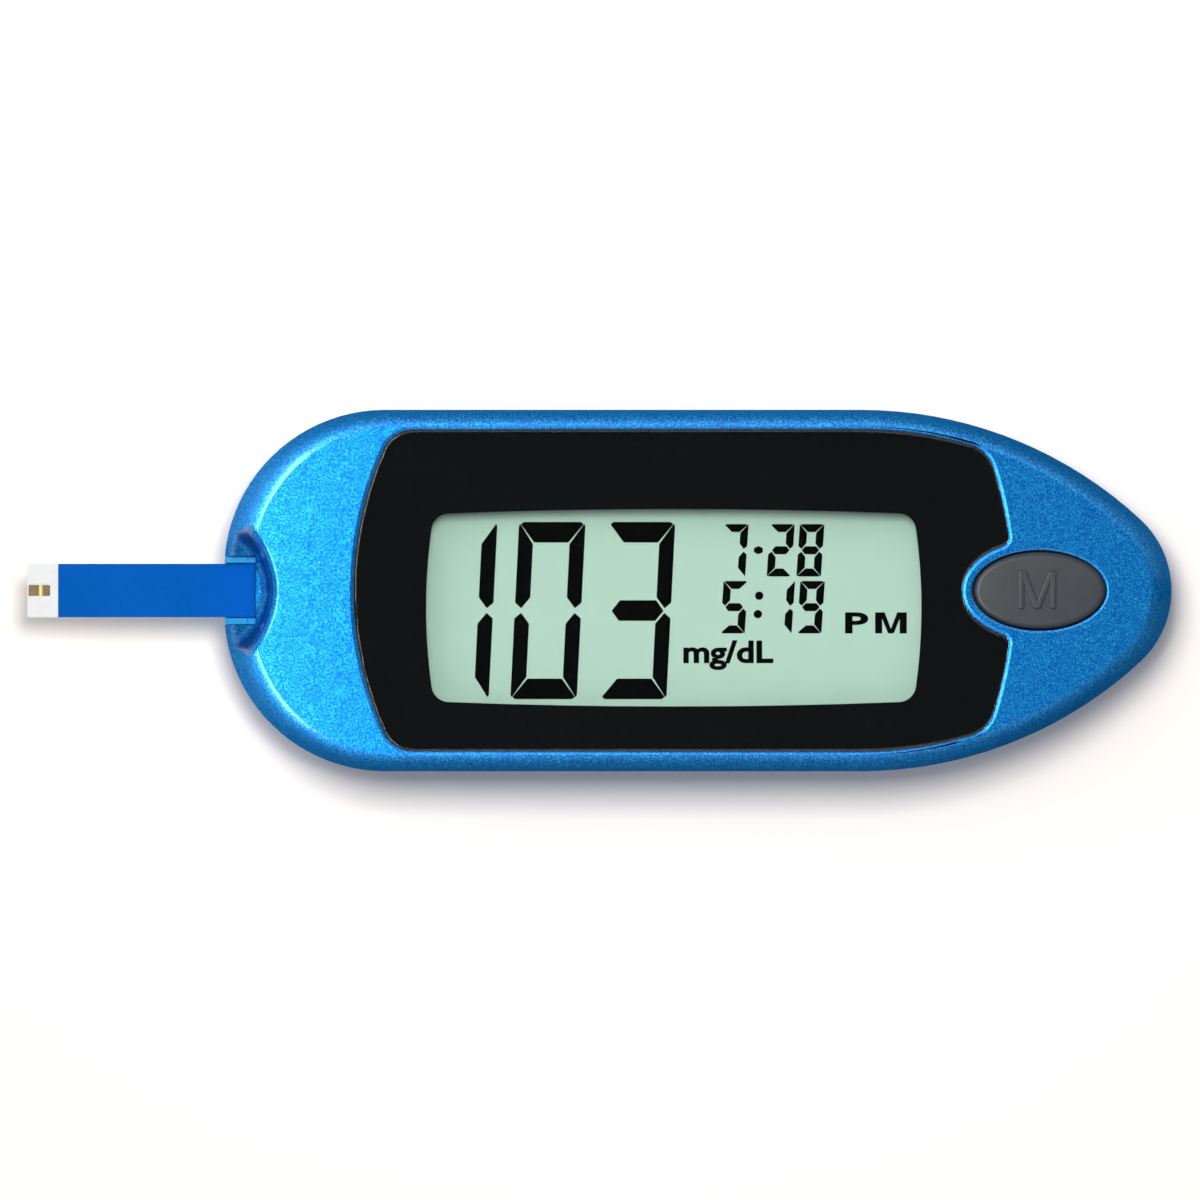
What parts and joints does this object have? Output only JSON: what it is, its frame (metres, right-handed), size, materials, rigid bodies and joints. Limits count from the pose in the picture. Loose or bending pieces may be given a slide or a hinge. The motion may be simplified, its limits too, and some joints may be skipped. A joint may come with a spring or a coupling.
{
  "type": "blood glucose meter",
  "caption": "Pocket blood glucose meter with a window display, an oval memory key, a strip port with a test strip, and a hinged coin-cell door.",
  "frame": {"origin": "centre of the flat back that the meter rests on", "axes": "+Z out of the display face, +X from the strip port towards the nose, +Y towards the top of the display"},
  "size_m": [0.1038, 0.0328, 0.0141],
  "materials": {
    "blue_metallic_shell": "metallic-blue lacquer on moulded ABS, satin gloss",
    "clear_acrylic": "clear polished acrylic",
    "black_print": "black screen print and adhesive",
    "foam": "black closed-cell foam",
    "polariser_film": "neutral polarising film",
    "display_glass": "thin soda-lime glass",
    "reflector_film": "pale green reflective film",
    "white_moulding": "white moulded polycarbonate",
    "contact_elastomer": "pink silicone with fine black conductive layers",
    "circuit_board": "green solder mask on glass-fibre laminate",
    "chip_epoxy": "black moulded epoxy with tinned leads",
    "chip_ceramic": "tan ceramic chip bodies",
    "crystal_can": "drawn steel can",
    "buzzer_plastic": "black moulded plastic",
    "switch_housing": "black nylon",
    "switch_plunger": "red-brown nylon",
    "grey_rubber": "dark grey silicone rubber, satin",
    "connector_nylon": "natural nylon",
    "gilt_spring": "gold-plated phosphor bronze",
    "port_plastic": "light blue translucent polycarbonate",
    "nickel_plate": "nickel-plated steel",
    "cell_seal": "dark polypropylene",
    "cathode_mix": "pressed manganese dioxide",
    "lithium": "soft lithium foil",
    "screw_steel": "zinc-plated steel",
    "label_paper": "silver-grey polyester label, bare",
    "strip_film": "white polyester",
    "carbon_ink": "printed carbon",
    "spacer_film": "white adhesive film",
    "reagent": "dried gold-brown reagent",
    "clear_film": "clear hydrophilic film",
    "blue_print": "blue printed film"
  },
  "bodies": {
    "root": {"front_case": "blue_metallic_shell", "rear_case": "blue_metallic_shell", "display_lens": "clear_acrylic", "lens_mask": "black_print", "display_gasket": "foam", "lcd_front_polariser": "polariser_film", "lcd_front_glass": "display_glass", "lcd_rear_glass": "display_glass", "lcd_reflector": "reflector_film", "lcd_holder": "white_moulding", "zebra_strips": "contact_elastomer", "main_board": "circuit_board", "microcontroller": "chip_epoxy", "analog_front_end": "chip_epoxy", "memory_chip": "chip_epoxy", "clock_crystal": "crystal_can", "chip_resistors_and_capacitors": "chip_ceramic", "buzzer": "buzzer_plastic", "memory_switch_body": "switch_housing", "set_switch_body": "switch_housing", "strip_connector_housing": "connector_nylon", "strip_connector_contacts": "gilt_spring", "strip_port_guide": "port_plastic", "battery_can": "nickel_plate", "battery_cap": "nickel_plate", "battery_seal": "cell_seal", "battery_cathode": "cathode_mix", "battery_lithium": "lithium", "battery_contact_positive": "nickel_plate", "battery_contact_negative": "nickel_plate", "case_screws": "screw_steel", "rear_label": "label_paper"},
    "memory_key": {"memory_key": "grey_rubber", "memory_switch_plunger": "switch_plunger"},
    "set_key": {"set_key": "grey_rubber", "set_switch_plunger": "switch_plunger"},
    "battery_door": {"battery_door": "blue_metallic_shell"},
    "test_strip": {"strip_base": "strip_film", "strip_electrodes": "carbon_ink", "strip_spacer": "spacer_film", "strip_reagent": "reagent", "strip_window": "clear_film", "strip_label": "blue_print"}
  },
  "joints": [
    {"name": "memory_key_press", "type": "slide", "parent": "root", "child": "memory_key", "axis": [0, 0, -1], "range_m": [0, 0.0005], "stiffness_N_per_m": 1500},
    {"name": "set_key_press", "type": "slide", "parent": "root", "child": "set_key", "axis": [0, 0, 1], "range_m": [0, 0.00025], "stiffness_N_per_m": 1500},
    {"name": "battery_door_hinge", "type": "hinge", "parent": "root", "child": "battery_door", "pos_m": [0.02645, 0, 0.00075], "axis": [0, -1, 0], "range_deg": [0, 60]},
    {"name": "strip_slide", "type": "slide", "parent": "root", "child": "test_strip", "axis": [-1, 0, 0], "range_m": [0, 0.0095]}
  ]
}
